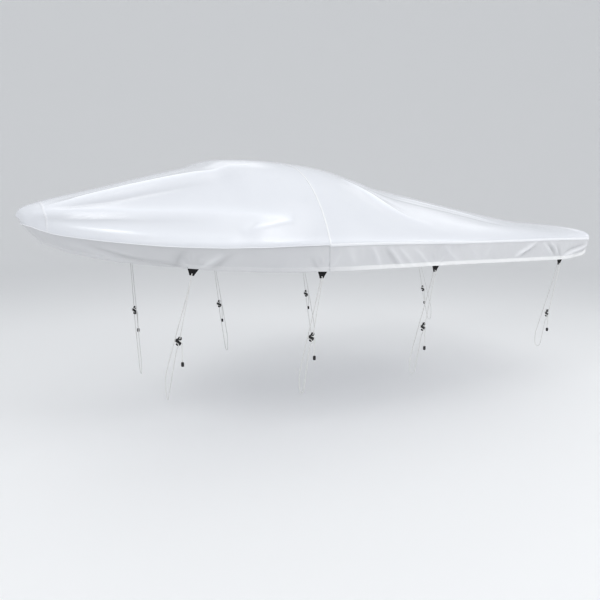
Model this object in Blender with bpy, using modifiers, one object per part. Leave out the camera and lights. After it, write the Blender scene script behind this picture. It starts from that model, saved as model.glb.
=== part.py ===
"""Fitted cover for a trailer boat with a windscreen, as it sits tied down over the boat.

The boat and its trailer are not part of it, so the cover is hollow. It hangs from the mount,
a point under its top on the centreline, which is the origin. +X runs to the stern, -Y is the
port side and +Z is up. All sizes are in metres.

The cloth follows a table of cross-sections from bow to stern. Each section gives the crown on
the centreline, the seam along the gunwale where the top is sewn to the skirt, and the hem.
"""

import math
from collections import namedtuple

import bmesh
import bpy
import numpy as np
from mathutils import Matrix, Vector

# Cloth and seams
CLOTH = 0.002  # coated polyester with its seam allowances
SEAM_GAP = 0.0006  # between two panels that are sewn edge to edge
MOUNT_STATION = 1.60  # from the bow to the mount, under the highest part of the top
TOP_SEGMENTS = 12  # from the centreline to the gunwale
LONGEST_STEP = 0.15  # along the cloth

# Cross-sections. station runs from the bow, heights stand above the ground under the trailer.
# fullness and steepness shape the section between crown and seam. lean and rake move the
# seam and the hem aft of the crown.
Section = namedtuple(
    "Section", "station crown fullness steepness half_beam seam lean hem_half_beam hem rake"
)
SECTIONS = (
    Section(0.00, 1.742, 2.00, 2.00, 0.000, 1.690, 0.030, 0.000, 1.545, 0.155),
    Section(0.02, 1.782, 2.00, 2.00, 0.110, 1.686, 0.025, 0.070, 1.544, 0.145),
    Section(0.06, 1.808, 2.00, 2.00, 0.190, 1.674, 0.020, 0.140, 1.540, 0.125),
    Section(0.12, 1.830, 2.00, 1.90, 0.280, 1.652, 0.010, 0.215, 1.530, 0.095),
    Section(0.21, 1.855, 2.00, 1.80, 0.390, 1.628, 0.000, 0.310, 1.508, 0.060),
    Section(0.35, 1.889, 2.00, 1.70, 0.530, 1.606, 0.000, 0.440, 1.483, 0.030),
    Section(0.55, 1.937, 2.10, 1.60, 0.690, 1.582, 0.000, 0.595, 1.453, 0.010),
    Section(0.80, 1.999, 2.40, 1.40, 0.840, 1.560, 0.000, 0.755, 1.423, 0.000),
    Section(1.08, 2.068, 2.90, 1.25, 0.955, 1.546, 0.010, 0.885, 1.395, 0.010),
    Section(1.25, 2.107, 2.85, 1.30, 0.997, 1.544, 0.015, 0.931, 1.384, 0.020),
    Section(1.38, 2.153, 3.20, 1.22, 1.032, 1.543, 0.022, 0.974, 1.374, 0.034),
    Section(1.58, 2.154, 3.90, 1.15, 1.060, 1.546, 0.030, 1.015, 1.366, 0.045),
    Section(1.82, 2.141, 4.00, 1.15, 1.078, 1.546, 0.030, 1.045, 1.358, 0.050),
    Section(2.12, 2.117, 3.60, 1.15, 1.085, 1.545, 0.020, 1.060, 1.352, 0.035),
    Section(2.45, 2.056, 2.80, 1.15, 1.085, 1.539, 0.010, 1.063, 1.350, 0.015),
    Section(2.80, 1.978, 2.10, 1.20, 1.080, 1.530, 0.000, 1.060, 1.346, 0.000),
    Section(3.20, 1.914, 1.80, 1.25, 1.068, 1.520, 0.000, 1.050, 1.338, 0.000),
    Section(3.70, 1.826, 1.60, 1.30, 1.050, 1.512, 0.000, 1.030, 1.326, 0.000),
    Section(4.20, 1.724, 1.60, 1.40, 1.030, 1.506, 0.020, 1.010, 1.314, 0.010),
    Section(4.52, 1.660, 1.65, 1.70, 1.015, 1.500, 0.050, 0.995, 1.308, 0.040),
    Section(4.72, 1.636, 1.65, 2.30, 1.010, 1.496, 0.090, 0.992, 1.330, 0.090),
    Section(4.77, 1.632, 1.60, 2.90, 1.010, 1.494, 0.100, 0.992, 1.350, 0.095),
    Section(4.79, 1.616, 1.60, 3.60, 1.012, 1.492, 0.100, 0.988, 1.360, 0.095),
    Section(4.80, 1.492, 1.60, 4.00, 1.004, 1.490, 0.100, 0.970, 1.365, 0.100),
)
STERN = len(SECTIONS) - 1
BOW_SEAM = 3.35  # the row, counted along the table, where the bow cap meets the deck panel
SCREEN_SEAM = 12.0  # the row where the deck panel meets the cockpit panel
STEM_ROW = 0.006  # the row where the bow skirts start, clear of each other at the stem
TRANSOM_HEM = 1.330  # height of the hem in the middle of the stern

# Folds in the top: soft ridges (height above 0) and troughs that run from one place through a
# second to a third. A place is a station from the bow and a share of the half beam.
Fold = namedtuple("Fold", "side start middle end width height")
PORT, STARBOARD = -1, 1
FOLDS = (
    Fold(PORT, (0.16, 0.42), (0.75, 0.50), (1.36, 0.60), 0.050, 0.007),
    Fold(PORT, (0.22, 0.73), (0.90, 0.81), (1.62, 0.93), 0.045, 0.007),
    Fold(PORT, (0.25, 0.85), (0.75, 0.87), (1.15, 0.92), 0.035, -0.006),
    Fold(PORT, (1.64, 0.93), (1.44, 0.93), (1.28, 0.95), 0.035, 0.006),
    Fold(PORT, (2.20, 0.60), (2.50, 0.70), (2.95, 0.86), 0.060, 0.010),
    Fold(PORT, (2.50, 0.50), (3.10, 0.54), (3.90, 0.72), 0.045, -0.008),
    Fold(STARBOARD, (0.16, 0.40), (0.70, 0.52), (1.34, 0.61), 0.050, 0.006),
    Fold(STARBOARD, (0.20, 0.74), (0.95, 0.80), (1.60, 0.92), 0.050, 0.006),
    Fold(STARBOARD, (0.30, 0.85), (0.80, 0.88), (1.20, 0.92), 0.035, -0.005),
    Fold(STARBOARD, (2.18, 0.61), (2.55, 0.72), (3.00, 0.87), 0.055, 0.010),
    Fold(STARBOARD, (2.60, 0.48), (3.20, 0.56), (4.00, 0.70), 0.050, -0.007),
)

# Binding along the gunwale seam, aft of the windscreen, and the piping before it
BINDING_THICK = 0.0015
BINDING_GAP = 0.0008  # also between the piping and the cloth
BINDING_UP = 0.008
BINDING_DOWN = 0.014
PIPING_RADIUS = 0.003

# Ties. tab is the station of the webbing tab, and stand is how far it stays inside the skirt,
# which curves and leans more at the bow. rail is where the cord turns under the trailer's side
# rail: its distance aft of the bow, from the centreline and above the ground. cleat is the
# share of the way down at which the cleat hangs, and tail is the length of the free end.
Tie = namedtuple("Tie", "name side tab stand rail cleat tail")
TIES = (
    Tie("port_1", PORT, 0.953, 0.0031, (0.885, 0.400, 0.400), 0.51, 0.115),
    Tie("port_2", PORT, 1.822, 0.0015, (1.820, 0.770, 0.395), 0.50, 0.110),
    Tie("port_3", PORT, 2.865, 0.0008, (2.885, 0.825, 0.400), 0.53, 0.135),
    Tie("port_4", PORT, 4.500, 0.0010, (4.570, 0.790, 0.420), 0.59, 0.120),
    Tie("starboard_1", STARBOARD, 0.953, 0.0031, (0.885, 0.400, 0.400), 0.49, 0.125),
    Tie("starboard_2", STARBOARD, 1.822, 0.0009, (1.830, 0.770, 0.395), 0.53, 0.120),
    Tie("starboard_3", STARBOARD, 2.865, 0.0007, (2.870, 0.825, 0.400), 0.51, 0.110),
    Tie("starboard_4", STARBOARD, 4.500, 0.0009, (4.540, 0.790, 0.420), 0.57, 0.130),
)
CORD_RADIUS = 0.003
RAIL_WIDE = 0.050
RAIL_TALL = 0.120

TAB_THICK = 0.0025
TAB_TOP = 0.074
TAB_BOTTOM = 0.034
TAB_SHOWS = 0.052  # below the hem
TAB_SEWN = 0.018  # behind the hem
TAB_EYE = 0.013  # from its lower edge to the cord
TAB_EYE_RADIUS = 0.0042

CLEAT_THICK = 0.007
CLEAT_EYE = (0.006, 0.030)  # from the cleat's middle, across and up
CLEAT_EYE_RADIUS = 0.0045
# The cleat is a thick S under a round head: its outline's corners, across, up and rounded
Corner = namedtuple("Corner", "across up radius")
CLEAT_CORNERS = (
    Corner(0.019, 0.043, 0.012),
    Corner(-0.007, 0.043, 0.012),
    Corner(-0.008, 0.026, 0.008),
    Corner(-0.023, 0.017, 0.006),
    Corner(-0.021, 0.001, 0.006),
    Corner(0.0075, -0.0145, 0.003),
    Corner(0.0045, -0.0213, 0.003),
    Corner(-0.012, -0.012, 0.003),
    Corner(-0.015, -0.025, 0.005),
    Corner(0.001, -0.033, 0.006),
    Corner(0.018, -0.023, 0.007),
    Corner(0.023, -0.007, 0.007),
    Corner(0.017, 0.004, 0.006),
    Corner(-0.0055, 0.0130, 0.003),
    Corner(-0.0045, 0.0205, 0.003),
    Corner(0.019, 0.014, 0.009),
)
BEAD_RADIUS = 0.011
BEAD_LONG = 0.032

# The cord's way through the cleat, from below to the free end: across, up and outwards
WEAVE = (
    (-0.002, -0.080, 0.004),
    (0.001, -0.052, 0.008),
    (0.005, -0.035, 0.0095),
    (0.007, -0.025, 0.0085),
    (0.005, -0.0195, 0.0078),
    (0.0030, -0.0166, 0.0064),
    (0.0005, -0.0150, 0.0024),
    (-0.0060, -0.0113, 0.0003),
    (-0.0150, -0.0064, 0.0),
    (-0.0225, -0.0020, 0.0),
    (-0.0272, 0.0045, -0.0010),
    (-0.0278, 0.0130, -0.0040),
    (-0.0240, 0.0190, -0.0075),
    (-0.0140, 0.0195, -0.0082),
    (-0.0045, 0.0175, -0.0076),
    (0.0015, 0.0146, -0.0030),
    (0.0065, 0.0129, 0.0018),
    (0.0125, 0.0108, 0.0065),
    (0.0200, 0.0070, 0.0078),
    (0.0268, -0.0020, 0.0062),
    (0.0290, -0.0130, 0.0040),
    (0.0295, -0.0300, 0.0025),
)


def catmull(before, start, end, after, share):
    """A smooth step from start to end that leaves and arrives in line with its neighbours."""
    return 0.5 * (
        2 * start
        + (end - before) * share
        + (2 * before - 5 * start + 4 * end - after) * share**2
        + (3 * start - before - 3 * end + after) * share**3
    )


def section_at(row):
    """The cross-section at a place along the table. The table is mirrored about the bow."""
    rows = np.array(SECTIONS)
    mirror = np.array([1, 1, 1, 1, -1, 1, 1, -1, 1, 1])
    first = min(int(row), STERN - 1)
    before = rows[first - 1] if first else rows[1] * mirror
    after = rows[first + 2] if first + 2 <= STERN else 2 * rows[STERN] - rows[STERN - 1]
    return Section(*catmull(before, rows[first], rows[first + 1], after, row - first))


def row_of(station):
    """The place along the table of a station on the centreline."""
    low, high = 0.0, float(STERN)
    for _ in range(40):
        middle = (low + high) / 2
        if section_at(middle).station < station:
            low = middle
        else:
            high = middle
    return low


def from_ground(station, y, height):
    """A place given from the bow and above the ground, in the part's own frame."""
    return Vector((station - MOUNT_STATION, y, height - MOUNT_HEIGHT))


MOUNT_HEIGHT = round(section_at(row_of(MOUNT_STATION)).crown - CLOTH, 3)


def top_point(row, share):
    """The top's outer face. share runs from -1 at the port seam to 1 at the starboard seam."""
    s = section_at(row)
    reach = math.sin(abs(share) * math.pi / 2)
    rise = (1 - reach**s.fullness) ** (1 / s.steepness) if reach < 1 else 0.0
    return from_ground(
        s.station + s.lean * reach**2,
        math.copysign(s.half_beam * reach, share),
        s.seam + (s.crown - s.seam) * rise,
    )


def skirt_point(row, side, drop):
    """The skirt's outer face. drop runs from 0 at the seam to 1 at the hem."""
    s = section_at(row)
    seam = from_ground(s.station + s.lean, side * s.half_beam, s.seam)
    hem = from_ground(s.station + s.rake, side * s.hem_half_beam, s.hem)
    return seam.lerp(hem, drop)


def transom_point(share, drop):
    """The stern skirt's outer face. share runs from -1 at port to 1 at starboard."""
    s = SECTIONS[STERN]
    seam = from_ground(s.station + s.lean * share**2, share * s.half_beam, s.seam)
    low = TRANSOM_HEM + (s.hem - TRANSOM_HEM) * share**2
    hem = from_ground(s.station + s.rake * share**2, share * s.hem_half_beam, low)
    return seam.lerp(hem, drop)


def fold_lines():
    """Each fold as points along it, with its width and height."""
    lines = []
    for fold in FOLDS:
        places = [fold.start, fold.middle, fold.end]
        points = []
        for a, b in zip(places, places[1:]):
            for step in range(6):
                station = a[0] + (b[0] - a[0]) * step / 6
                share = a[1] + (b[1] - a[1]) * step / 6
                points.append(top_point(row_of(station), fold.side * math.asin(share) * 2 / math.pi))
        lines.append((np.array([tuple(p) for p in points]), fold.width, fold.height))
    return lines


def raised(point, normal, lines):
    """A point of the top moved along its normal by the folds that pass near it."""
    lift = 0.0
    for line, width, height in lines:
        away = np.linalg.norm(line - np.array(point), axis=1)
        nearest = int(away.argmin())
        fade = math.sin(math.pi * (nearest + 1) / (len(line) + 1)) ** 0.5
        lift += height * fade * math.exp(-((away[nearest] / width) ** 2))
    return point + normal * lift


def finish(name):
    """The material of one sub-part: its colour, roughness and metallic value."""
    looks = {
        "cover": ((0.84, 0.85, 0.88), 0.5),
        "skirt": ((0.74, 0.75, 0.78), 0.55),
        "binding": ((0.90, 0.90, 0.92), 0.5),
        "webbing": ((0.02, 0.02, 0.02), 0.8),
        "cord": ((0.88, 0.88, 0.86), 0.8),
        "cleat": ((0.03, 0.03, 0.03), 0.4),
    }
    material = bpy.data.materials.get(name) or bpy.data.materials.new(name)
    material.use_nodes = True
    shader = material.node_tree.nodes["Principled BSDF"]
    colour, roughness = looks[name]
    shader.inputs["Base Color"].default_value = (*colour, 1)
    shader.inputs["Roughness"].default_value = roughness
    shader.inputs["Metallic"].default_value = 0.0
    return material


def place(name, data, material):
    """A new object in the cover's collection."""
    piece = bpy.data.objects.new(name, data)
    COVER.objects.link(piece)
    data.materials.clear()
    data.materials.append(finish(material))
    return piece


def cloth_mesh(name, grid):
    """An open sheet through rows of points, with the points that meet at the bow merged."""
    sheet = bmesh.new()
    rows = [[sheet.verts.new(point) for point in row] for row in grid]
    for a, b in zip(rows, rows[1:]):
        for i in range(len(a) - 1):
            sheet.faces.new((a[i], b[i], b[i + 1], a[i + 1]))
    bmesh.ops.remove_doubles(sheet, verts=sheet.verts, dist=0.00005)
    mesh = bpy.data.meshes.new(name)
    sheet.to_mesh(mesh)
    sheet.free()
    mesh.shade_smooth()
    return mesh


def cloth_panel(name, grid, material, thick=CLOTH):
    """A panel: its outer face with the cloth's thickness added on the inside."""
    panel = place(name, cloth_mesh(name, grid), material)
    solid = panel.modifiers.new("cloth", "SOLIDIFY")
    solid.thickness = thick
    solid.offset = -1.0
    return panel


def rows_between(first, last):
    """Places along the table from one row to another, a short step apart, with one at the
    bow cap's seam, so that all that meets at the gunwale bends at the same places."""
    marks = [row for row in (*range(STERN + 1), BOW_SEAM) if first + 0.1 < row < last - 0.1]
    marks = [first, *sorted(marks), last]
    places = [first]
    for a, b in zip(marks, marks[1:]):
        length = (skirt_point(b, PORT, 0.0) - skirt_point(a, PORT, 0.0)).length
        steps = max(1, math.ceil(length / LONGEST_STEP))
        places += [a + (b - a) * step / steps for step in range(1, steps + 1)]
    return places


def trimmed(row, direction):
    """A row moved along the table by half the gap of a sewn seam."""
    nudge = 0.01
    length = (top_point(row + nudge, 0.0) - top_point(row - nudge, 0.0)).length / (2 * nudge)
    return row + direction * SEAM_GAP / 2 / length


def top_panel(name, first, last):
    """A panel of the top, from seam to seam across the boat."""
    nudge = 0.002
    lines = fold_lines()
    grid = []
    for row in rows_between(first, last):
        points = []
        for step in range(-TOP_SEGMENTS, TOP_SEGMENTS + 1):
            share = step / TOP_SEGMENTS
            point = top_point(row, share)
            inner = max(0.002, min(STERN - nudge, row))
            along = top_point(inner + nudge, share) - top_point(inner - nudge, share)
            inward = share * 0.999
            over = top_point(inner, inward + nudge / 2) - top_point(inner, inward - nudge / 2)
            edge = 1 - abs(share) ** 8
            points.append(raised(point, along.cross(over).normalized() * edge, lines))
        grid.append(points)
    return cloth_panel(name, grid, "cover")


def seam_frame(row, side):
    """A point of the gunwale seam, the ways up and down the cloth from it, their normals, and
    the way that leads equally far from both faces of the cloth."""
    seam = skirt_point(row, side, 0.0)
    along = skirt_point(row + 0.01, side, 0.0) - skirt_point(row - 0.01, side, 0.0)
    up = (top_point(row, side * (1 - 1 / TOP_SEGMENTS)) - seam).normalized()
    down = (skirt_point(row, side, 0.5) - seam).normalized()
    out_up = up.cross(along).normalized() * side
    out_down = along.cross(down).normalized() * side
    both = out_up + out_down
    return seam, up, down, out_up, out_down, both * 2 / both.length_squared


def side_skirt(name, side, first, last):
    """A skirt panel along one side, from its seam down to its hem. Its upper edge starts just
    below the thickness of the top, which leans in over it."""
    grid = []
    for row in rows_between(first, last):
        _, _, down, out_up, out_down, _ = seam_frame(row, side)
        lean = max(0.0, out_up.z) + max(0.0, -out_down.z)
        room = (SEAM_GAP + CLOTH * lean) / -down.z
        start = room / (skirt_point(row, side, 0.0) - skirt_point(row, side, 1.0)).length
        points = [skirt_point(row, side, drop) for drop in (start, 0.5, 1.0)]
        grid.append(points if side == STARBOARD else points[::-1])
    return cloth_panel(name, grid, "skirt")


def transom_skirt():
    """The skirt panel across the stern, with its points below those of the top. It starts a
    cloth's thickness lower at the corners, where the top turns level."""
    angles = [math.pi / 2 * step / TOP_SEGMENTS for step in range(-TOP_SEGMENTS, TOP_SEGMENTS + 1)]
    grid = []
    for share in ((1 - CLOTH) * math.sin(angle) for angle in angles):
        room = SEAM_GAP + CLOTH * 1.2 * share**8
        start = room / (transom_point(share, 0) - transom_point(share, 1)).length
        grid.append([transom_point(share, drop) for drop in (1.0, 0.5, start)])
    return cloth_panel("skirt_stern", grid, "skirt")


def binding(name, side):
    """A flat strip sewn over the gunwale seam from the windscreen to the stern, which stops
    just before the corner."""
    off = BINDING_THICK + BINDING_GAP
    grid = []
    for row in rows_between(trimmed(SCREEN_SEAM, 1), STERN)[:-3]:
        seam, up, down, out_up, out_down, away = seam_frame(row, side)
        corner = seam + away * off
        upper = seam + up * BINDING_UP + out_up * off
        lower = seam + down * BINDING_DOWN + out_down * off
        points = [upper, corner, lower]
        grid.append(points if side == STARBOARD else points[::-1])
    return cloth_panel(name, grid, "binding", BINDING_THICK)


def tube(name, points, radius, material, sides=2):
    """A round cord through points, with closed ends."""
    curve = bpy.data.curves.new(name, "CURVE")
    curve.dimensions = "3D"
    curve.bevel_depth = radius
    curve.bevel_resolution = sides
    curve.use_fill_caps = True
    spline = curve.splines.new("POLY")
    spline.points.add(len(points) - 1)
    for knot, point in zip(spline.points, points):
        knot.co = (*point, 1)
    return place(name, curve, material)


def piping():
    """The covered cord in the gunwale seam, from the windscreen round the bow."""
    rows = rows_between(0.0, trimmed(SCREEN_SEAM, -1))
    points = []
    for side, order in ((PORT, rows[::-1]), (STARBOARD, rows[1:])):
        for row in order:
            seam, *_, away = seam_frame(row, side)
            points.append(seam + away * (PIPING_RADIUS + BINDING_GAP))
    return tube("piping_bow", points, PIPING_RADIUS, "binding")


def tie_frame(tie):
    """Where a tie starts and its directions: across along the hem, down to the rail, and out."""
    row = row_of(tie.tab - section_at(row_of(tie.tab)).rake)
    height = (skirt_point(row, tie.side, 0.0) - skirt_point(row, tie.side, 1.0)).length
    sewn = skirt_point(row, tie.side, 1 - TAB_SEWN / height)
    along = skirt_point(row + 0.01, tie.side, 1.0) - skirt_point(row - 0.01, tie.side, 1.0)
    along.normalize()
    face = along.cross(Vector((0, 0, 1))).normalized() * -tie.side
    skirt_down = (skirt_point(row, tie.side, 1.0) - sewn).normalized()
    out_of_skirt = (face - skirt_down * face.dot(skirt_down)).normalized()
    top = sewn - out_of_skirt * (CLOTH + tie.stand + TAB_THICK / 2)
    rail = from_ground(tie.rail[0], tie.side * tie.rail[1], tie.rail[2])
    down = (rail - top).normalized()
    across = (along - down * along.dot(down)).normalized()
    out = (face - down * face.dot(down) - across * face.dot(across)).normalized()
    return top, across, down, out, rail


def circle(x, y, radius):
    """A closed ring of 12 points."""
    angles = [2 * math.pi * step / 12 for step in range(12)]
    return [(x + radius * math.cos(angle), y + radius * math.sin(angle)) for angle in angles]


def add_ring(outline, ring):
    """Adds a closed ring of points to a flat outline."""
    spline = outline.splines.new("POLY")
    spline.points.add(len(ring) - 1)
    spline.use_cyclic_u = True
    for knot, (x, y) in zip(spline.points, ring):
        knot.co = (x, y, 0, 1)


def tab(tie):
    """A webbing tab sewn behind the hem, wide above and narrow below, with an eye for the cord."""
    top, across, down, out, _ = tie_frame(tie)
    long = TAB_SEWN + TAB_SHOWS
    outline = bpy.data.curves.new("tab_" + tie.name, "CURVE")
    outline.dimensions = "2D"
    outline.fill_mode = "BOTH"
    outline.extrude = TAB_THICK / 2
    corners = (
        (-TAB_TOP / 2, 0),
        (-TAB_TOP / 2, TAB_SEWN),
        (-TAB_BOTTOM / 2, long - 0.003),
        (-TAB_BOTTOM / 2 + 0.003, long),
        (TAB_BOTTOM / 2 - 0.003, long),
        (TAB_BOTTOM / 2, long - 0.003),
        (TAB_TOP / 2, TAB_SEWN),
        (TAB_TOP / 2, 0),
    )
    for ring in (corners, circle(0, long - TAB_EYE, TAB_EYE_RADIUS)):
        add_ring(outline, ring)
    piece = place("tab_" + tie.name, outline, "webbing")
    piece.matrix_world = placed(across, down, top)
    return piece


def placed(across, second, origin):
    """The matrix that puts an outline's X and Y along two directions."""
    matrix = Matrix((across, second, across.cross(second).normalized())).transposed().to_4x4()
    matrix.translation = origin
    return matrix


def cleat_middle(tie):
    """The middle of a tie's cleat, below the eye that the upper cord is knotted in."""
    top, across, down, out, rail = tie_frame(tie)
    eye = top + down * (rail - top).length * tie.cleat
    return eye - across * CLEAT_EYE[0] + down * CLEAT_EYE[1]


def rounded(corners):
    """An outline through corners, each rounded by an arc of its radius."""
    points = []
    for i, corner in enumerate(corners):
        here = np.array(corner[:2])
        to_last = np.array(corners[i - 1][:2]) - here
        to_next = np.array(corners[(i + 1) % len(corners)][:2]) - here
        to_last /= np.linalg.norm(to_last)
        to_next /= np.linalg.norm(to_next)
        half = math.acos(float(to_last @ to_next)) / 2
        middle = (to_last + to_next) / np.linalg.norm(to_last + to_next)
        centre = here + middle * corner.radius / math.sin(half)
        first = here + to_last * corner.radius / math.tan(half) - centre
        last = here + to_next * corner.radius / math.tan(half) - centre
        steps = max(1, round((math.pi - 2 * half) / 0.8))
        for step in range(steps + 1):
            way = first * (steps - step) + last * step
            points.append(centre + way * corner.radius / np.linalg.norm(way))
    return [(float(x), float(y)) for x, y in points]


def cleat_shape():
    """The moulded cleat's outline, as thick as the cleat, with the eye through its head."""
    outline = bpy.data.curves.new("cleat", "CURVE")
    outline.dimensions = "2D"
    outline.fill_mode = "BOTH"
    outline.extrude = CLEAT_THICK / 2
    for ring in (rounded(CLEAT_CORNERS), circle(*CLEAT_EYE, CLEAT_EYE_RADIUS)):
        add_ring(outline, ring)
    return outline


def cleat(tie, outline):
    """A plastic cleat that hangs on a tie and grips its free end."""
    _, across, down, out, _ = tie_frame(tie)
    piece = place("cleat_" + tie.name, outline, "cleat")
    piece.matrix_world = placed(across, -down, cleat_middle(tie))
    return piece


def tail_top(tie):
    """The end of the cord, inside the top of its bead."""
    _, across, down, out, _ = tie_frame(tie)
    hang = Vector((0, 0, -1))
    a, u, o = WEAVE[-1]
    start = cleat_middle(tie) + across * a - down * u + out * o
    return start + hang * tie.tail


def cord_route(tie):
    """The cord's route: knotted in the cleat's eye, up through the tab, down behind the rail,
    up its front, through the cleat and down to the bead."""
    top, across, down, out, rail = tie_frame(tie)
    middle = cleat_middle(tie)
    eye = middle + across * CLEAT_EYE[0] - down * CLEAT_EYE[1]
    loop = top + down * (TAB_SEWN + TAB_SHOWS - TAB_EYE)
    bend = 0.012
    inward = Vector((0, -tie.side, 0))
    up = Vector((0, 0, 1))
    points = [
        eye - out * 0.010,
        eye + out * 0.004,
        eye + out * 0.0095 - down * 0.004,
        eye + out * 0.0110 - down * 0.018,
        eye.lerp(loop, 0.5) + out * bend,
        loop + out * bend + down * 0.060,
    ]
    for step in range(5):
        angle = math.pi * step / 4
        points.append(loop + out * bend * math.cos(angle) + down * bend * (1 - math.sin(angle)))
    behind = rail + inward * (RAIL_WIDE + CORD_RADIUS + 0.002)
    points += [
        loop - out * bend + down * 0.060,
        behind + up * (RAIL_TALL + 0.050) - inward * 0.012,
        behind + up * RAIL_TALL,
        behind + up * 0.025,
        behind + up * 0.002 - inward * 0.010,
        rail + inward * RAIL_WIDE / 2 - up * 0.008,
        rail + up * 0.002 + inward * 0.006,
        rail + up * 0.025 - inward * 0.006,
    ]
    weave = [middle + across * a - down * u + out * o for a, u, o in WEAVE]
    points += [points[-1].lerp(weave[0], 0.5)] + weave
    points += [weave[-1].lerp(tail_top(tie), 0.6), tail_top(tie)]
    return points


def smooth(points):
    """Points along a smooth curve through a route, close together only where it bends."""
    ends = [2 * points[0] - points[1], *points, 2 * points[-1] - points[-2]]
    result = []
    for before, start, end, after in zip(ends, ends[1:], ends[2:], ends[3:]):
        bend = (start - before).angle(end - start) + (end - start).angle(after - end)
        steps = 2 if bend > 1.4 else 1
        knots = [0.0]
        for a, b in ((before, start), (start, end), (end, after)):
            knots.append(knots[-1] + math.sqrt((b - a).length))
        result += [between(before, start, end, after, knots, step / steps) for step in range(steps)]
    return result + [points[-1]]


def between(before, start, end, after, knots, share):
    """A point of the curve that leaves start and reaches end without overshooting."""
    t0, t1, t2, t3 = knots
    t = t1 + (t2 - t1) * share
    a = before.lerp(start, (t - t0) / (t1 - t0))
    b = start.lerp(end, (t - t1) / (t2 - t1))
    c = end.lerp(after, (t - t2) / (t3 - t2))
    return a.lerp(b, (t - t0) / (t2 - t0)).lerp(b.lerp(c, (t - t1) / (t3 - t1)), share)


def bead(tie):
    """The barrel bead that ends a tie's cord."""
    profile = ((0.0, 0.0), (0.6, 0.0), (1.0, 0.16), (1.0, 0.84), (0.6, 1.0), (0.0, 1.0))
    shape = bmesh.new()
    knots = [shape.verts.new((BEAD_RADIUS * r, 0, -BEAD_LONG * h)) for r, h in profile]
    for a, b in zip(knots, knots[1:]):
        shape.edges.new((a, b))
    bmesh.ops.spin(
        shape, geom=shape.verts[:] + shape.edges[:], axis=(0, 0, 1), cent=(0, 0, 0),
        angle=2 * math.pi, steps=10, use_merge=True,
    )
    bmesh.ops.remove_doubles(shape, verts=shape.verts, dist=0.00005)
    bmesh.ops.recalc_face_normals(shape, faces=shape.faces)
    mesh = bpy.data.meshes.new("bead_" + tie.name)
    shape.to_mesh(mesh)
    shape.free()
    mesh.shade_smooth()
    piece = place("bead_" + tie.name, mesh, "cleat")
    piece.location = tail_top(tie) - Vector((0, 0, SEAM_GAP))
    return piece


for old in list(bpy.data.objects):
    bpy.data.objects.remove(old)
COVER = bpy.data.collections.new("boat_cover")
bpy.context.scene.collection.children.link(COVER)

top_panel("bow_cap", 0.0, trimmed(BOW_SEAM, -1))
top_panel("deck_panel", trimmed(BOW_SEAM, 1), trimmed(SCREEN_SEAM, -1))
top_panel("cockpit_panel", trimmed(SCREEN_SEAM, 1), STERN)
for side, word in ((PORT, "port"), (STARBOARD, "starboard")):
    side_skirt("skirt_bow_" + word, side, STEM_ROW, trimmed(SCREEN_SEAM, -1))
    side_skirt("skirt_side_" + word, side, trimmed(SCREEN_SEAM, 1), STERN)
    binding("binding_" + word, side)
transom_skirt()
piping()
shape = cleat_shape()
for tie in TIES:
    tab(tie)
    cleat(tie, shape)
    tube("cord_" + tie.name, smooth(cord_route(tie)), CORD_RADIUS, "cord")
    bead(tie)
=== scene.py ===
"""The looks of a fitted boat cover with its ties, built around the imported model."""

import math
from collections import namedtuple
from functools import partial

import bmesh
import bpy
import numpy as np
from mathutils import Matrix, Vector, noise


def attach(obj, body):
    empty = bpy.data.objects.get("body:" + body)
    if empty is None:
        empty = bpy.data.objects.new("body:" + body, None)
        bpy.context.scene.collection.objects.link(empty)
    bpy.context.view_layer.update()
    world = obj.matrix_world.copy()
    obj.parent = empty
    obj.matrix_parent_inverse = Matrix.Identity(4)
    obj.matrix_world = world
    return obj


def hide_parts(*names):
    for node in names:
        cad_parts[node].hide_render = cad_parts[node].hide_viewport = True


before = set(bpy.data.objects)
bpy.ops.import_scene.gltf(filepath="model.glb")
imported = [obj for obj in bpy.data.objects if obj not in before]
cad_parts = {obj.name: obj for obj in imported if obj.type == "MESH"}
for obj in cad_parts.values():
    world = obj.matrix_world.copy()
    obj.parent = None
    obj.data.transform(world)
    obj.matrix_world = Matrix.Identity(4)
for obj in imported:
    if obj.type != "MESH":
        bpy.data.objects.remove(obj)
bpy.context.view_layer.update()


# Camera. It stands off the port bow, a little above the gunwale, and looks aft and slightly
# down across the cover.
GROUND = -2.151  # the floor under the trailer, below the mount at the windscreen's top


def placed(name, data):
    """A new object in the scene."""
    item = bpy.data.objects.new(name, data)
    bpy.context.scene.collection.objects.link(item)
    return item


camera_data = bpy.data.cameras.new("camera")
camera_data.lens = 33.6
camera_data.clip_end = 200
camera = placed("camera", camera_data)
camera.location = (-1.87, -4.3, GROUND + 1.83)
camera.rotation_euler = (math.radians(90 - 9.83), 0, math.radians(-30.3))
bpy.context.scene.camera = camera


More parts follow.
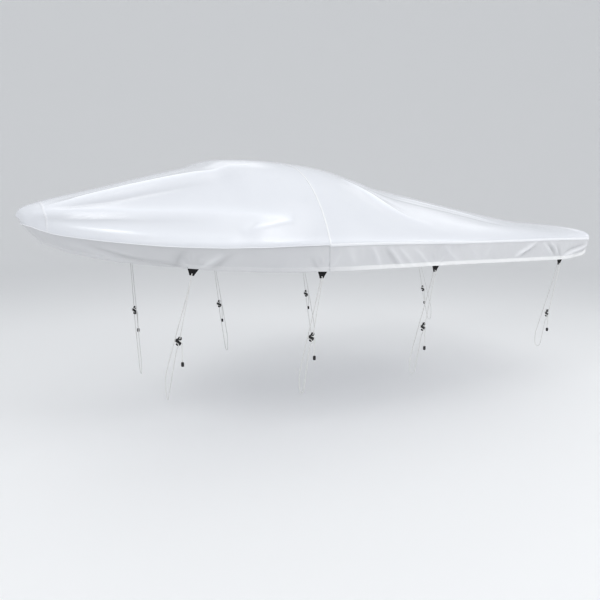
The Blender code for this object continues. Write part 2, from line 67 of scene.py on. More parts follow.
# The form of the cover. It is cut to fit the boat, so every panel follows one set of
# cross-sections: the crown on the centreline, the seam at the gunwale and the hem. Stations
# run from the bow and heights stand above the ground. fullness and steepness shape the section
# between crown and seam. lean and rake move the seam and the hem aft of the crown.
Section = namedtuple(
    "Section", "station crown fullness steepness half_beam seam lean hem_half_beam hem rake"
)
SECTIONS = tuple(Section(*row) for row in (
    (0.00, 1.742, 2.00, 2.00, 0.000, 1.690, 0.030, 0.000, 1.545, 0.155),
    (0.02, 1.782, 2.00, 2.00, 0.110, 1.686, 0.025, 0.070, 1.544, 0.145),
    (0.06, 1.808, 2.00, 2.00, 0.190, 1.674, 0.020, 0.140, 1.540, 0.125),
    (0.12, 1.830, 2.00, 1.90, 0.280, 1.652, 0.010, 0.215, 1.530, 0.095),
    (0.21, 1.855, 2.00, 1.80, 0.390, 1.628, 0.000, 0.310, 1.508, 0.060),
    (0.35, 1.889, 2.00, 1.70, 0.530, 1.606, 0.000, 0.440, 1.483, 0.030),
    (0.55, 1.937, 2.10, 1.60, 0.690, 1.582, 0.000, 0.595, 1.453, 0.010),
    (0.80, 1.999, 2.40, 1.40, 0.840, 1.560, 0.000, 0.755, 1.423, 0.000),
    (1.08, 2.068, 2.90, 1.25, 0.955, 1.546, 0.010, 0.885, 1.395, 0.010),
    (1.25, 2.107, 2.85, 1.30, 0.997, 1.544, 0.015, 0.931, 1.384, 0.020),
    (1.38, 2.153, 3.20, 1.22, 1.032, 1.543, 0.022, 0.974, 1.374, 0.034),
    (1.58, 2.154, 3.90, 1.15, 1.060, 1.546, 0.030, 1.015, 1.366, 0.045),
    (1.82, 2.141, 4.00, 1.15, 1.078, 1.546, 0.030, 1.045, 1.358, 0.050),
    (2.12, 2.117, 3.60, 1.15, 1.085, 1.545, 0.020, 1.060, 1.352, 0.035),
    (2.45, 2.056, 2.80, 1.15, 1.085, 1.539, 0.010, 1.063, 1.350, 0.015),
    (2.80, 1.978, 2.10, 1.20, 1.080, 1.530, 0.000, 1.060, 1.346, 0.000),
    (3.20, 1.914, 1.80, 1.25, 1.068, 1.520, 0.000, 1.050, 1.338, 0.000),
    (3.70, 1.826, 1.60, 1.30, 1.050, 1.512, 0.000, 1.030, 1.326, 0.000),
    (4.20, 1.724, 1.60, 1.40, 1.030, 1.506, 0.020, 1.010, 1.314, 0.010),
    (4.52, 1.660, 1.65, 1.70, 1.015, 1.500, 0.050, 0.995, 1.308, 0.040),
    (4.72, 1.636, 1.65, 2.30, 1.010, 1.496, 0.090, 0.992, 1.330, 0.090),
    (4.77, 1.632, 1.60, 2.90, 1.010, 1.494, 0.100, 0.992, 1.350, 0.095),
    (4.79, 1.616, 1.60, 3.60, 1.012, 1.492, 0.100, 0.988, 1.360, 0.095),
    (4.80, 1.492, 1.60, 4.00, 1.004, 1.490, 0.100, 0.970, 1.365, 0.100),
))
STERN = len(SECTIONS) - 1
BOW_SEAM = 3.35  # the row, counted along the table, where the bow cap meets the deck panel
SCREEN_SEAM = 12.0  # the row where the deck panel meets the cockpit panel
STEM_ROW = 0.006  # the row where the bow skirts start, clear of each other at the stem
MOUNT_STATION = 1.6
TRANSOM_HEM = 1.33  # height of the hem in the middle of the stern
PORT, STARBOARD = -1, 1
SIDES = ((PORT, "port"), (STARBOARD, "starboard"))

# The curves need a row beyond each end: the bow's is its neighbour mirrored across the stem.
bow_mirror = np.array([1, 1, 1, 1, -1, 1, 1, -1, 1, 1])
section_table = np.array(SECTIONS)
section_table = np.vstack(
    [section_table[1] * bow_mirror, section_table, 2 * section_table[-1] - section_table[-2]]
)


def sections_at(rows):
    """The cross-sections at places along the table, one row of values for each."""
    rows = np.asarray(rows, float)
    first = np.clip(rows.astype(int), 0, STERN - 1)
    f = (rows - first)[..., None]
    a, b, c, d = (section_table[first + k] for k in range(4))
    return 0.5 * (
        2 * b + (c - a) * f + (2 * a - 5 * b + 4 * c - d) * f**2 + (3 * b - a - 3 * c + d) * f**3
    )


def row_of(station):
    """The place along the table of a station on the centreline."""
    rows = np.linspace(0, STERN, 4401)
    return np.interp(station, sections_at(rows)[:, 0], rows)


def from_mount(station, starboard, height):
    """Points in the shared frame, whose origin is the mount."""
    return np.stack([station - MOUNT_STATION, starboard, height + GROUND], -1)


def top_at(rows, shares):
    """Points of the top. shares run from -1 at the port seam to 1 at the starboard seam."""
    values = np.moveaxis(sections_at(rows), -1, 0)
    station, crown, fullness, steepness, beam, seam, lean = values[:7]
    reach = np.sin(np.abs(shares) * math.pi / 2)
    rise = np.maximum(0, 1 - reach**fullness) ** (1 / steepness)
    return from_mount(
        station + lean * reach**2, np.sign(shares) * beam * reach, seam + (crown - seam) * rise
    )


def skirt_at(rows, side, drops):
    """Points of a side skirt. drops run from 0 at the seam to 1 at the hem."""
    values = np.moveaxis(sections_at(rows), -1, 0)
    station, _, _, _, beam, seam, lean, hem_beam, hem, rake = values
    drops = np.asarray(drops, float)
    return from_mount(
        station + lean + (rake - lean) * drops,
        side * (beam + (hem_beam - beam) * drops),
        seam + (hem - seam) * drops,
    )


def transom_at(shares, drops):
    """Points of the stern skirt. shares run from -1 at port to 1 at starboard."""
    s = SECTIONS[STERN]
    low = TRANSOM_HEM + (s.hem - TRANSOM_HEM) * shares**2
    return from_mount(
        s.station + (s.lean + (s.rake - s.lean) * drops) * shares**2,
        shares * (s.half_beam + (s.hem_half_beam - s.half_beam) * drops),
        s.seam + (low - s.seam) * drops,
    )


# Ties. Each is one braided cord, knotted in the eye of its cleat. It runs up through the tab,
# down behind the trailer's rail, up the front and through the cleat to a bead. tab is the tab's
# station, and stand is how far inside the skirt it stays. rail is where the cord turns: its
# station, distance from the centreline and height. cleat is the share of the way down to the
# cleat, and tail is the free end's length.
Tie = namedtuple("Tie", "name side tab stand rail cleat tail")
TIES = (
    Tie("port_1", PORT, 0.953, 0.0031, (0.885, 0.4, 0.4), 0.51, 0.115),
    Tie("port_2", PORT, 1.822, 0.0015, (1.82, 0.77, 0.395), 0.5, 0.11),
    Tie("port_3", PORT, 2.865, 0.0008, (2.885, 0.825, 0.4), 0.53, 0.135),
    Tie("port_4", PORT, 4.5, 0.001, (4.57, 0.79, 0.42), 0.59, 0.12),
    Tie("starboard_1", STARBOARD, 0.953, 0.0031, (0.885, 0.4, 0.4), 0.49, 0.125),
    Tie("starboard_2", STARBOARD, 1.822, 0.0009, (1.83, 0.77, 0.395), 0.53, 0.12),
    Tie("starboard_3", STARBOARD, 2.865, 0.0007, (2.87, 0.825, 0.4), 0.51, 0.11),
    Tie("starboard_4", STARBOARD, 4.5, 0.0009, (4.54, 0.79, 0.42), 0.57, 0.13),
)
CORD_RADIUS = 0.003
RAIL_WIDE = 0.05
RAIL_TALL = 0.12
CLOTH = 0.002  # with its seam allowances
TAB_THICK = 0.0025
TAB_SHOWS = 0.052  # below the hem
TAB_SEWN = 0.018  # behind the hem
TAB_EYE = 0.013  # from its lower edge to the cord
TAB_EYE_RADIUS = 0.0042
CLEAT_EYE = (0.006, 0.03)  # from the cleat's middle, across and up
CLEAT_EYE_RADIUS = 0.0045
# The cord's way through the cleat, from below to the free end: across, up and outwards, in mm.
WEAVE = (
    (-2, -80, 4), (1, -52, 8), (5, -35, 9.5), (7, -25, 8.5), (5, -19.5, 7.8),
    (3, -16.6, 6.4), (0.5, -15, 2.4), (-6, -11.3, 0.3), (-15, -6.4, 0), (-22.5, -2, 0),
    (-27.2, 4.5, -1), (-27.8, 13, -4), (-24, 19, -7.5), (-14, 19.5, -8.2),
    (-4.5, 17.5, -7.6), (1.5, 14.6, -3), (6.5, 12.9, 1.8), (12.5, 10.8, 6.5), (20, 7, 7.8),
    (26.8, -2, 6.2), (29, -13, 4), (29.5, -30, 2.5),
)


def tie_frame(tie):
    """Where a tie starts and its directions: across along the hem, down to the rail, and out."""
    row = row_of(tie.tab - sections_at(row_of(tie.tab))[-1])

    def skirt(at, drop):
        return Vector(skirt_at(at, tie.side, drop))

    height = (skirt(row, 0.0) - skirt(row, 1.0)).length
    sewn = skirt(row, 1 - TAB_SEWN / height)
    along = (skirt(row + 0.01, 1.0) - skirt(row - 0.01, 1.0)).normalized()
    face = along.cross(Vector((0, 0, 1))).normalized() * -tie.side
    skirt_down = (skirt(row, 1.0) - sewn).normalized()
    out_of_skirt = (face - skirt_down * face.dot(skirt_down)).normalized()
    top = sewn - out_of_skirt * (CLOTH + tie.stand + TAB_THICK / 2)
    x, y, z = tie.rail
    rail = Vector((x - MOUNT_STATION, tie.side * y, z + GROUND))
    down = (rail - top).normalized()
    across = (along - down * along.dot(down)).normalized()
    out = (face - down * face.dot(down) - across * face.dot(across)).normalized()
    return top, across, down, out, rail


def cleat_middle(tie):
    """The middle of a tie's cleat, below the eye that the upper cord is knotted in."""
    top, across, down, _, rail = tie_frame(tie)
    eye = top + down * (rail - top).length * tie.cleat
    return eye - across * CLEAT_EYE[0] + down * CLEAT_EYE[1]


def cord_route(tie):
    """The cord's route from the knot in the cleat's eye to the top of the bead."""
    top, across, down, out, rail = tie_frame(tie)
    middle = cleat_middle(tie)
    eye = middle + across * CLEAT_EYE[0] - down * CLEAT_EYE[1]
    loop = top + down * (TAB_SEWN + TAB_SHOWS - TAB_EYE)
    bend = 0.012
    inward = Vector((0, -tie.side, 0))
    up = Vector((0, 0, 1))
    points = [
        eye - out * 0.01,
        eye + out * 0.004,
        eye + out * 0.0095 - down * 0.004,
        eye + out * 0.011 - down * 0.018,
        eye.lerp(loop, 0.5) + out * bend,
        loop + out * bend + down * 0.06,
    ]
    for step in range(5):
        angle = math.pi * step / 4
        points.append(loop + out * bend * math.cos(angle) + down * bend * (1 - math.sin(angle)))
    behind = rail + inward * (RAIL_WIDE + CORD_RADIUS + 0.002)
    points += [
        loop - out * bend + down * 0.06,
        behind + up * (RAIL_TALL + 0.05) - inward * 0.012,
        behind + up * RAIL_TALL,
        behind + up * 0.025,
        behind + up * 0.002 - inward * 0.01,
        rail + inward * RAIL_WIDE / 2 - up * 0.008,
        rail + up * 0.002 + inward * 0.006,
        rail + up * 0.025 - inward * 0.006,
    ]
    weave = [
        middle + across * (a / 1000) - down * (u / 1000) + out * (o / 1000) for a, u, o in WEAVE
    ]
    points += [points[-1].lerp(weave[0], 0.5)] + weave
    bead = weave[-1] - up * tie.tail
    return points + [weave[-1].lerp(bead, 0.6), bead]


def smooth(points, step):
    """Points a short step apart along a smooth curve through a route."""
    ends = [2 * points[0] - points[1], *points, 2 * points[-1] - points[-2]]
    result = []
    for before, start, end, after in zip(ends, ends[1:], ends[2:], ends[3:]):
        knots = [0.0]
        for a, b in ((before, start), (start, end), (end, after)):
            knots.append(knots[-1] + math.sqrt((b - a).length))
        t0, t1, t2, t3 = knots
        steps = max(1, round((end - start).length / step))
        for i in range(steps):
            t = t1 + (t2 - t1) * i / steps
            a = before.lerp(start, (t - t0) / (t1 - t0))
            b = start.lerp(end, (t - t1) / (t2 - t1))
            c = end.lerp(after, (t - t2) / (t3 - t2))
            a = a.lerp(b, (t - t0) / (t2 - t0))
            b = b.lerp(c, (t - t1) / (t3 - t1))
            result.append(a.lerp(b, (t - t1) / (t2 - t1)))
    return result + [points[-1]]


def new_object(name, data, material, slot, *nodes):
    """A visible piece that rides on the cover and stands for some of its CAD nodes."""
    piece = placed(name, data)
    data.materials.append(material)
    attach(piece, "root")
    if nodes:
        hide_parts(*nodes)
    return piece


def finished(build, name):
    """A mesh of what was built, shaded smooth."""
    mesh = bpy.data.meshes.new(name)
    build.to_mesh(mesh)
    build.free()
    mesh.shade_smooth()
    return mesh


def tube_mesh(name, points, radius, sides):
    """A round tube along points, with U round it and V along it in metres."""
    build = bmesh.new()
    uv = build.loops.layers.uv.new("UVMap")
    angles = [2 * math.pi * k / sides for k in range(sides)]
    rings, lengths = [], [0.0]
    normal = (points[1] - points[0]).orthogonal().normalized()
    for i, point in enumerate(points):
        ahead, behind = points[min(i + 1, len(points) - 1)], points[max(i - 1, 0)]
        tangent = (ahead - behind).normalized()
        normal = (normal - tangent * normal.dot(tangent)).normalized()
        side = tangent.cross(normal)
        if i:
            lengths.append(lengths[-1] + (point - behind).length)
        ways = [normal * math.cos(a) + side * math.sin(a) for a in angles]
        rings.append([build.verts.new(point + way * radius) for way in ways])
    for i, (a, b) in enumerate(zip(rings, rings[1:])):
        for k in range(sides):
            n = (k + 1) % sides
            face = build.faces.new((a[k], a[n], b[n], b[k]))
            corners = ((k, i), (k + 1, i), (k + 1, i + 1), (k, i + 1))
            for loop, (turn, ring) in zip(face.loops, corners):
                loop[uv].uv = (turn / sides * 2 * math.pi * radius, lengths[ring])
    build.faces.new(rings[0][::-1])
    build.faces.new(rings[-1])
    build.normal_update()
    return finished(build, name)


def node_group(name, inputs, output):
    """A new shader group with named inputs and one named float output."""
    group = bpy.data.node_groups.new(name, "ShaderNodeTree")
    for socket, kind in inputs.items():
        group.interface.new_socket(socket, in_out="INPUT", socket_type="NodeSocket" + kind)
    group.interface.new_socket(output, in_out="OUTPUT", socket_type="NodeSocketFloat")
    return group, group.nodes.new("NodeGroupInput"), group.nodes.new("NodeGroupOutput")


def feed(tree, socket, value):
    """Gives a socket a value, or links it to another socket."""
    if isinstance(value, bpy.types.NodeSocket):
        tree.links.new(value, socket)
    else:
        socket.default_value = value


def new_node(tree, kind, group=None, **inputs):
    """A new node, or a group's, with inputs given by name, where _ stands for a space."""
    node = tree.nodes.new("ShaderNode" + kind)
    if group:
        node.node_tree = group
    for name, value in inputs.items():
        feed(tree, node.inputs[name.replace("_", " ")], value)
    return node


def math_node(tree, operation, *values):
    """The result of a math node fed by sockets or numbers."""
    node = new_node(tree, "Math")
    node.operation = operation
    for socket, value in zip(node.inputs, values):
        feed(tree, socket, value)
    return node.outputs[0]


def mixed(tree, share, first, second):
    """A colour between two others, which are sockets or colours."""
    node = new_node(tree, "Mix")
    node.data_type = "RGBA"
    for k, value in ((0, share), (6, first), (7, second)):
        feed(tree, node.inputs[k], (*value, 1) if isinstance(value, tuple) else value)
    return node.outputs[2]


def to_surface(material, name, socket):
    """Links a socket to an input of a material's surface."""
    tree = material.node_tree
    tree.links.new(socket, tree.nodes["Principled BSDF"].inputs[name])


def weave_group(name, crossing):
    """Threads that go over and under one pitch apart, along the UV axes or on the slant."""
    tree, entry, result = node_group(name, {"UV": "Vector", "Pitch": "Float"}, "Height")
    split = new_node(tree, "SeparateXYZ", Vector=entry.outputs["UV"])
    turn = math_node(tree, "DIVIDE", math.pi, entry.outputs["Pitch"])
    u, v = split.outputs[0], split.outputs[1]
    if crossing:
        u, v = math_node(tree, "ADD", u, v), math_node(tree, "SUBTRACT", u, v)
    waves = [math_node(tree, "SINE", math_node(tree, "MULTIPLY", way, turn)) for way in (u, v)]
    feed(tree, result.inputs["Height"], math_node(tree, "MULTIPLY", *waves))
    return tree


def relief(material, height, strength, depth):
    """Gives a material's surface the relief of a height."""
    tree = material.node_tree
    bump = new_node(tree, "Bump", Strength=strength, Distance=depth, Height=height)
    to_surface(material, "Normal", bump.outputs["Normal"])


def threaded(material, group, pitch, strength, depth):
    """Gives a material's surface the relief of its threads."""
    tree = material.node_tree
    place = new_node(tree, "TexCoord").outputs["UV"]
    threads = new_node(tree, "Group", group, Pitch=pitch, UV=place)
    relief(material, threads.outputs["Height"], strength, depth)
    return threads.outputs["Height"]


def plain_material(name, colour, roughness, specular=0.5):
    """A material of one colour."""
    material = bpy.data.materials.new(name)
    material.use_nodes = True
    surface = material.node_tree.nodes["Principled BSDF"].inputs
    surface["Base Color"].default_value = (*colour, 1)
    surface["Roughness"].default_value = roughness
    surface["Specular IOR Level"].default_value = specular
    return material


BRAID_PITCH = 2 * math.pi * CORD_RADIUS / 12
# The cord's white on its raised strands, and the same white darkened as painted shade in the
# hollows between them.
HOLLOW_SHADE, RAISED_TONE = (0.7, 0.7, 0.68), (0.9, 0.9, 0.88)
braid, weave = weave_group("braid", True), weave_group("weave", False)
cord_material = plain_material("tie cord", RAISED_TONE, 0.7)
height = threaded(cord_material, braid, BRAID_PITCH, 0.8, 0.0004)
tree = cord_material.node_tree
share = math_node(tree, "MULTIPLY_ADD", height, 0.5, 0.5)
to_surface(cord_material, "Base Color", mixed(tree, share, HOLLOW_SHADE, RAISED_TONE))


# Top. Three panels of white coated cloth, felled at the bow cap's seam and the windscreen's.
# Each is a fine grid on the form, raised and sunk by its creases, with a thin cloth's thickness.
# A crease is its width in mm, the roundness of its crest and the places it runs through. A place
# is a station in cm, a share of the half beam in percent and the crease's height there in mm.
TOP_CREASES = {PORT: (
    (30, 0.8, (14, 58, 0), (26, 52, 8), (39, 44, 14), (57, 40, 17), (83, 40.5, 18), (105, 45, 16),
        (123, 47, 10), (139, 51, 4), (150, 54, 0)),
    (30, 0.8, (18, 63, 0), (32, 63, -9), (53, 62, -11), (77, 60, -10), (100, 62, -5),
        (120, 65, 0)),
    (30, 0.9, (20, 36, 0), (32, 31, -4), (57, 27, -5), (83, 27, -5), (105, 31, -4), (125, 34, 0)),
    (28, 0.6, (5, 78, 0), (13, 73, 8), (25, 74, 11), (47, 77, 11), (69, 80.6, 9), (91, 83.6, 8),
        (114, 86.6, 7), (138, 90.6, 7), (153, 92.2, 7), (160, 92.8, 0)),
    (26, 0.8, (4, 90, 0), (15, 87.4, -10), (24, 87.6, -12), (45, 87.2, -11), (67, 88.5, -7),
        (89, 89.5, -4), (112, 92, 0)),
    (24, 0.8, (12, 95.7, 0), (23, 94, 4), (44, 95.5, 5), (65, 96.5, 5), (87, 97, 4),
        (110, 97.5, 3), (134, 98.4, 0)),
    (14, 0.5, (160, 93.2, 0), (155, 93.5, 6), (145, 94, 6), (135, 94.8, 4), (128, 95.3, 0)),
    (26, 0.8, (122, 96.2, 0), (129, 95, 6), (136, 94, 6), (144, 93, 0)),
    (12, 0.5, (137, 93, 0), (133, 93.8, -4), (130, 95, -3), (127, 96.2, 0)),
    (18, 0.8, (66, 99.2, 0), (90, 99, 3), (160, 99.3, 4), (246, 99.3, 4), (300, 98.9, 3),
        (350, 98.9, 0)),
    (26, 0.6, (222, 58, 0), (233, 65.5, 14), (242, 71, 19), (250, 76.5, 19), (259, 80, 13),
        (272, 84, 6), (295, 87, 0)),
    (26, 0.8, (222, 50, 0), (236, 56, -3), (248, 63, -4), (262, 70, -3), (280, 77, 0)),
    (20, 0.7, (238, 56, 0), (264, 56, -6), (291, 54, -9), (320, 57.5, -10), (352, 64, -9),
        (375, 72, -6), (395, 80, 0)),
    (16, 0.7, (275, 46, 0), (305, 44, 5), (335, 49, 7), (365, 58, 6), (390, 70, 0)),
    (60, 1, (290, 76, 0), (324, 84, 6), (361, 86, 7), (405, 84, 5), (440, 80, 0)),
), STARBOARD: (
    (30, 1, (16, 46, 0), (40, 40, 5), (75, 50, 8), (105, 54, 8), (138, 61, 0)),
    (18, 0.7, (20, 54, 0), (42, 50, -3), (70, 60, -4), (95, 66, 0)),
    (28, 0.6, (5, 78, 0), (20, 74, 7), (50, 78, 8), (95, 83, 8), (135, 89, 7), (162, 92.5, 0)),
    (26, 0.8, (4, 90, 0), (20, 87.5, -7), (50, 87.2, -8), (85, 89, -5), (120, 92, 0)),
    (24, 0.8, (12, 95.7, 0), (30, 94.5, 4), (70, 96.5, 5), (105, 97.5, 3), (130, 98.4, 0)),
    (14, 0.5, (162, 93, 0), (154, 93.6, 6), (140, 94.4, 5), (125, 95.2, 0)),
    (18, 0.8, (70, 99.2, 0), (100, 99, 3), (180, 99.3, 4), (270, 99.1, 4), (340, 98.9, 0)),
    (34, 0.7, (216, 58, 0), (232, 64, 7), (250, 71, 11), (268, 80, 9), (300, 90, 0)),
    (22, 0.7, (240, 52, 0), (275, 53, -7), (315, 56, -9), (355, 64, -8), (400, 78, 0)),
    (60, 1, (295, 78, 0), (330, 84, 6), (380, 85, 6), (435, 80, 0)),
)}
FELL = 0.012  # how far one panel laps over the next
THIN = 0.0012  # the cloth's thickness


def steps_along(first, last, step, extra=()):
    """Places along the table a short step apart at the gunwale, with extra ones by each end."""
    rows = np.linspace(first, last, 6001)
    run = travel(skirt_at(rows, PORT, 0), 0)
    full = run[-1]
    marks = np.linspace(0, full, max(2, round(full / step)))
    extra = np.array(extra)
    margin = extra.max(initial=0) + step / 2
    inner = marks[(marks > margin) & (marks < full - margin)]
    marks = np.concatenate([[0], extra, inner, full - extra[::-1], [full]])
    return np.interp(marks, run, rows)


def crease_lift(grid, creases, surface):
    """How far creases raise each point of a grid, and how sharply, below 0 in a trough; the
    sharpness is the fold shading that the materials paint as painted highlight on crests and
    painted shade in troughs.
    surface turns the first two values of a crease's places into points."""
    points = grid.reshape(-1, 3)
    lift, crest = np.zeros(len(points)), np.zeros(len(points))
    for width, bend, *places in creases:
        width = width / 1000
        places = [Vector((a / 100, b / 100, height / 1000)) for a, b, height in places]
        places = np.array([tuple(place) for place in smooth(places, 0.04)])
        line = surface(places[:, 0], places[:, 1])
        reach = width * 6
        near = np.all((points > line.min(0) - reach) & (points < line.max(0) + reach), axis=1)
        some = points[near]
        best = np.full(len(some), 9.0)
        height = np.zeros(len(some))
        for a, b, low, high in zip(line[:-1], line[1:], places[:-1, 2], places[1:, 2]):
            along = b - a
            f = np.clip((some - a) @ along / max(along @ along, 1e-9), 0, 1)
            away = np.linalg.norm(some - a - f[:, None] * along, axis=1)
            nearer = away < best
            best[nearer] = away[nearer]
            height[nearer] = (low + (high - low) * f)[nearer]
        height *= np.exp(bend - np.sqrt(bend**2 + (best / width) ** 2))
        lift[near] += height
        crest[near] += height / width
    return np.stack([lift, crest]).reshape(2, *grid.shape[:-1])


def slack(grid, scale, seed):
    """A slow uneven swell from -1 to 1 at each point, finer the larger its scale."""
    start = Vector((seed, seed * 0.7, 3.1))
    points = grid.reshape(-1, 3) * np.array(scale)
    return np.array([noise.noise(Vector(p) + start) for p in points]).reshape(grid.shape[:-1])


def ramp(x, low, high):
    """A smooth rise from 0 at low to 1 at high."""
    f = np.clip((x - low) / (high - low), 0, 1)
    return f * f * (3 - 2 * f)


def travel(grid, axis):
    """The distance along one way of a grid of points, from its first line."""
    gaps = np.linalg.norm(np.diff(grid, axis=axis), axis=-1)
    start = np.zeros_like(np.take(gaps, [0], axis=axis))
    return np.concatenate([start, np.cumsum(gaps, axis=axis)], axis=axis)


def unit(ways):
    """Each way made one metre long."""
    return ways / np.maximum(np.linalg.norm(ways, axis=-1, keepdims=True), 1e-9)


def facing(grid, turn):
    """The outward normal at each point of a grid."""
    return unit(np.cross(np.gradient(grid, axis=0), np.gradient(grid, axis=1)) * turn)


def cloth(name, slot, grid, turn, material, lift=0.0, thick=THIN, **marks):
    """A thin cloth through a grid lifted off the form, with UVs in metres and its marks for the
    material. It comes with its grid and the normals there."""
    grid = grid + facing(grid, turn) * np.expand_dims(lift, -1)
    n, m = grid.shape[:2]
    count = np.arange(n * m).reshape(n, m)
    corners = (count[:-1, :-1], count[1:, :-1], count[1:, 1:], count[:-1, 1:])
    quads = np.stack(corners, -1).reshape(-1, 4)[:, ::turn]
    mesh = bpy.data.meshes.new("cloth_" + name)
    mesh.from_pydata(grid.reshape(-1, 3).tolist(), [], quads.tolist())
    across, middle = travel(grid, 1), m // 2
    along = np.broadcast_to(travel(grid, 0)[:, middle, None], across.shape)
    uv = np.stack([across - across[:, middle, None], along], -1).reshape(-1, 2)
    mesh.uv_layers.new(name="UVMap").data.foreach_set("uv", uv[quads.ravel()].ravel())
    for word, values in marks.items():
        mark = mesh.attributes.new(word, "FLOAT", "POINT")
        mark.data.foreach_set("value", np.broadcast_to(values, (n, m)).ravel().astype(float))
    mesh.shade_smooth()
    piece = new_object("cloth_" + name, mesh, material, slot, name)
    thickness = piece.modifiers.new("thickness", "SOLIDIFY")
    thickness.thickness = thick
    thickness.offset = -1
    thickness.use_quality_normals = True
    return piece, grid, facing(grid, turn)


STITCH_PITCH = 0.0055
STITCH_HALF = 0.002  # half its length
STITCH_FINE = 0.0006  # half its width


def stitches(name, lines):
    """Rows of short raised stitches. Each line is its points and the cloth's normals there."""
    verts, faces = [], []
    for points, normals in lines:
        places = travel(points, 0)
        if places[-1] < 0.02:
            continue
        marks = np.arange(0.004, places[-1] - 0.002, STITCH_PITCH)

        def at(values, where):
            return np.stack([np.interp(where, places, values[:, k]) for k in range(3)], -1)

        middle, ahead, normal = at(points, marks), at(points, marks + 0.001), at(normals, marks)
        way = unit(ahead - middle)
        end, edge = way * STITCH_HALF, np.cross(normal, way) * STITCH_FINE
        six = (end, edge, -end, -edge, normal * STITCH_FINE, normal * -0.0004)
        start = len(verts)
        verts += np.stack([middle + part for part in six], 1).reshape(-1, 3).tolist()
        for k in range(start, len(verts), 6):
            for a, b in ((0, 1), (1, 2), (2, 3), (3, 0)):
                faces += [(k + a, k + b, k + 4), (k + b, k + a, k + 5)]
    mesh = bpy.data.meshes.new(name)
    mesh.from_pydata(verts, [], faces)
    mesh.shade_smooth()
    return new_object(name, mesh, thread_material, "binding")


def sew(piece, lines):
    thread = stitches(piece.name.replace("cloth", "stitches"), lines)


def line_at(grid, normals, away, goal):
    """The points of a grid, one in each row, where away is nearest a goal, with normals."""
    column = np.argmin(np.abs(away - goal), axis=1)
    row = np.arange(len(grid))
    return grid[row, column], normals[row, column]


def soil_group():
    """Slow uneven patches, from 0 to 1, such as dust and sun leave on cloth."""
    tree, entry, result = node_group("soil", {"Scale": "Float"}, "Mask")
    place, scale = new_node(tree, "TexCoord").outputs["Object"], entry.outputs["Scale"]
    patches = new_node(tree, "TexNoise", Vector=place, Scale=scale, Detail=5, Roughness=0.6)
    value = patches.outputs["Fac"]
    spread = new_node(tree, "MapRange", Value=value, From_Min=0.3, From_Max=0.7)
    feed(tree, result.inputs["Mask"], spread.outputs[0])
    return tree


soil = soil_group()


def cloth_material(name, clean, soiled, painted_highlight, roughness, painted_fold_light):
    """Coated woven cloth: two close colours in slow patches, a paler colour where sewn that is a
    painted highlight along seams and hems, and painted highlight along its crests and painted
    shade in its troughs."""
    material = plain_material(name, clean, roughness)
    tree = material.node_tree
    patches = new_node(tree, "Group", soil, Scale=1.7)
    sewn, crest = new_node(tree, "Attribute"), new_node(tree, "Attribute")
    sewn.attribute_name, crest.attribute_name = "sewn", "crest"
    colours = mixed(tree, patches.outputs["Mask"], clean, soiled)
    # The paler colour where sewn is a painted highlight along seams and hems.
    layers = mixed(tree, sewn.outputs["Fac"], colours, painted_highlight)
    # Painted highlight on the crests of the creases and painted shade in their troughs.
    tone = new_node(tree, "VectorMath")
    tone.operation = "SCALE"
    feed(tree, tone.inputs[0], layers)
    scale = math_node(tree, "MULTIPLY_ADD", crest.outputs["Fac"], painted_fold_light, 1.0)
    feed(tree, tone.inputs["Scale"], scale)
    to_surface(material, "Base Color", tone.outputs[0])
    threaded(material, weave, 0.0012, 0.15, 0.0003)
    return material


def top_place(side, stations, reaches):
    """Points of one side of the top at stations and shares of the half beam."""
    return top_at(row_of(stations), side * np.arcsin(np.clip(reaches, 0, 1)) * 2 / math.pi)


# The top's cloth: its paler colour is a painted highlight along the felled seams, and its fold
# strength sets the painted highlight and shade of the creases.
cover_material = cloth_material(
    "cover cloth", (0.775, 0.79, 0.825), (0.745, 0.76, 0.8), (0.9, 0.905, 0.92), 0.2, 0.34
)
thread_material = plain_material("thread", (0.86, 0.86, 0.86), 0.7)

TOP_STEP = 0.0155  # along the gunwale
TOP_ACROSS = 200  # steps from seam to seam
SEAM_LINE = 0.006  # from the gunwale seam to the stitches above it
BOW_ENDS = (0.004, 0.01)  # closer rows by a panel's ends
FELLED_ENDS = (0.003, 0.006, 0.009, 0.012, 0.014, 0.017, 0.022)
shares = np.linspace(-1, 1, TOP_ACROSS + 1)
for name, first, last in (
    ("bow_cap", 0.0, BOW_SEAM),
    ("deck_panel", BOW_SEAM, SCREEN_SEAM),
    ("cockpit_panel", SCREEN_SEAM, STERN),
):
    rows = steps_along(first, last, TOP_STEP, FELLED_ENDS if first else BOW_ENDS)
    if last < STERN:
        rows = np.append(rows, 2 * rows[-1] - rows[-3])
    grid = top_at(rows[:, None], shares)
    across = travel(grid, 1)
    edge = np.minimum(across, across[:, -1:] - across)
    hold = ramp(edge, 0.002, 0.04)
    if not first:
        hold = hold * ramp(np.arange(len(rows)), 2, 12)[:, None]
    lift, crest = sum(
        crease_lift(grid, TOP_CREASES[side], partial(top_place, side)) for side, _ in SIDES
    )
    lift *= ramp(edge, 0.002, 0.02)
    lift += slack(grid, (1.8, 3.4, 2), 5) * 0.0045 * hold
    lift += slack(grid, (5, 11, 6), 8) * 0.0012 * hold
    # The felled laps are marked for a painted highlight along the seam, faint at the bow cap and
    # full at the windscreen.
    sewn = 0
    if first:
        start = travel(grid, 0)[:, TOP_ACROSS // 2, None]
        fell = 1 - ramp(start, FELL, FELL + 0.003)
        lift += fell * (0.0003 + 0.0013 * ramp(edge, 0.005, 0.025))
        sewn = fell * (0.3 if first < SCREEN_SEAM else 1.0)
    piece, grid, normals = cloth(
        name, "cover", grid, 1, cover_material, lift, sewn=sewn, crest=crest
    )
    lines = []
    for way in (-1, 1):
        half = [values[:, ::way][:, :TOP_ACROSS // 2] for values in (grid, normals, edge)]
        lines.append(line_at(*half, SEAM_LINE))
    if first:
        lines += [(grid[k, 2:-2], normals[k, 2:-2]) for k in (1, 3)]
    sew(piece, lines)


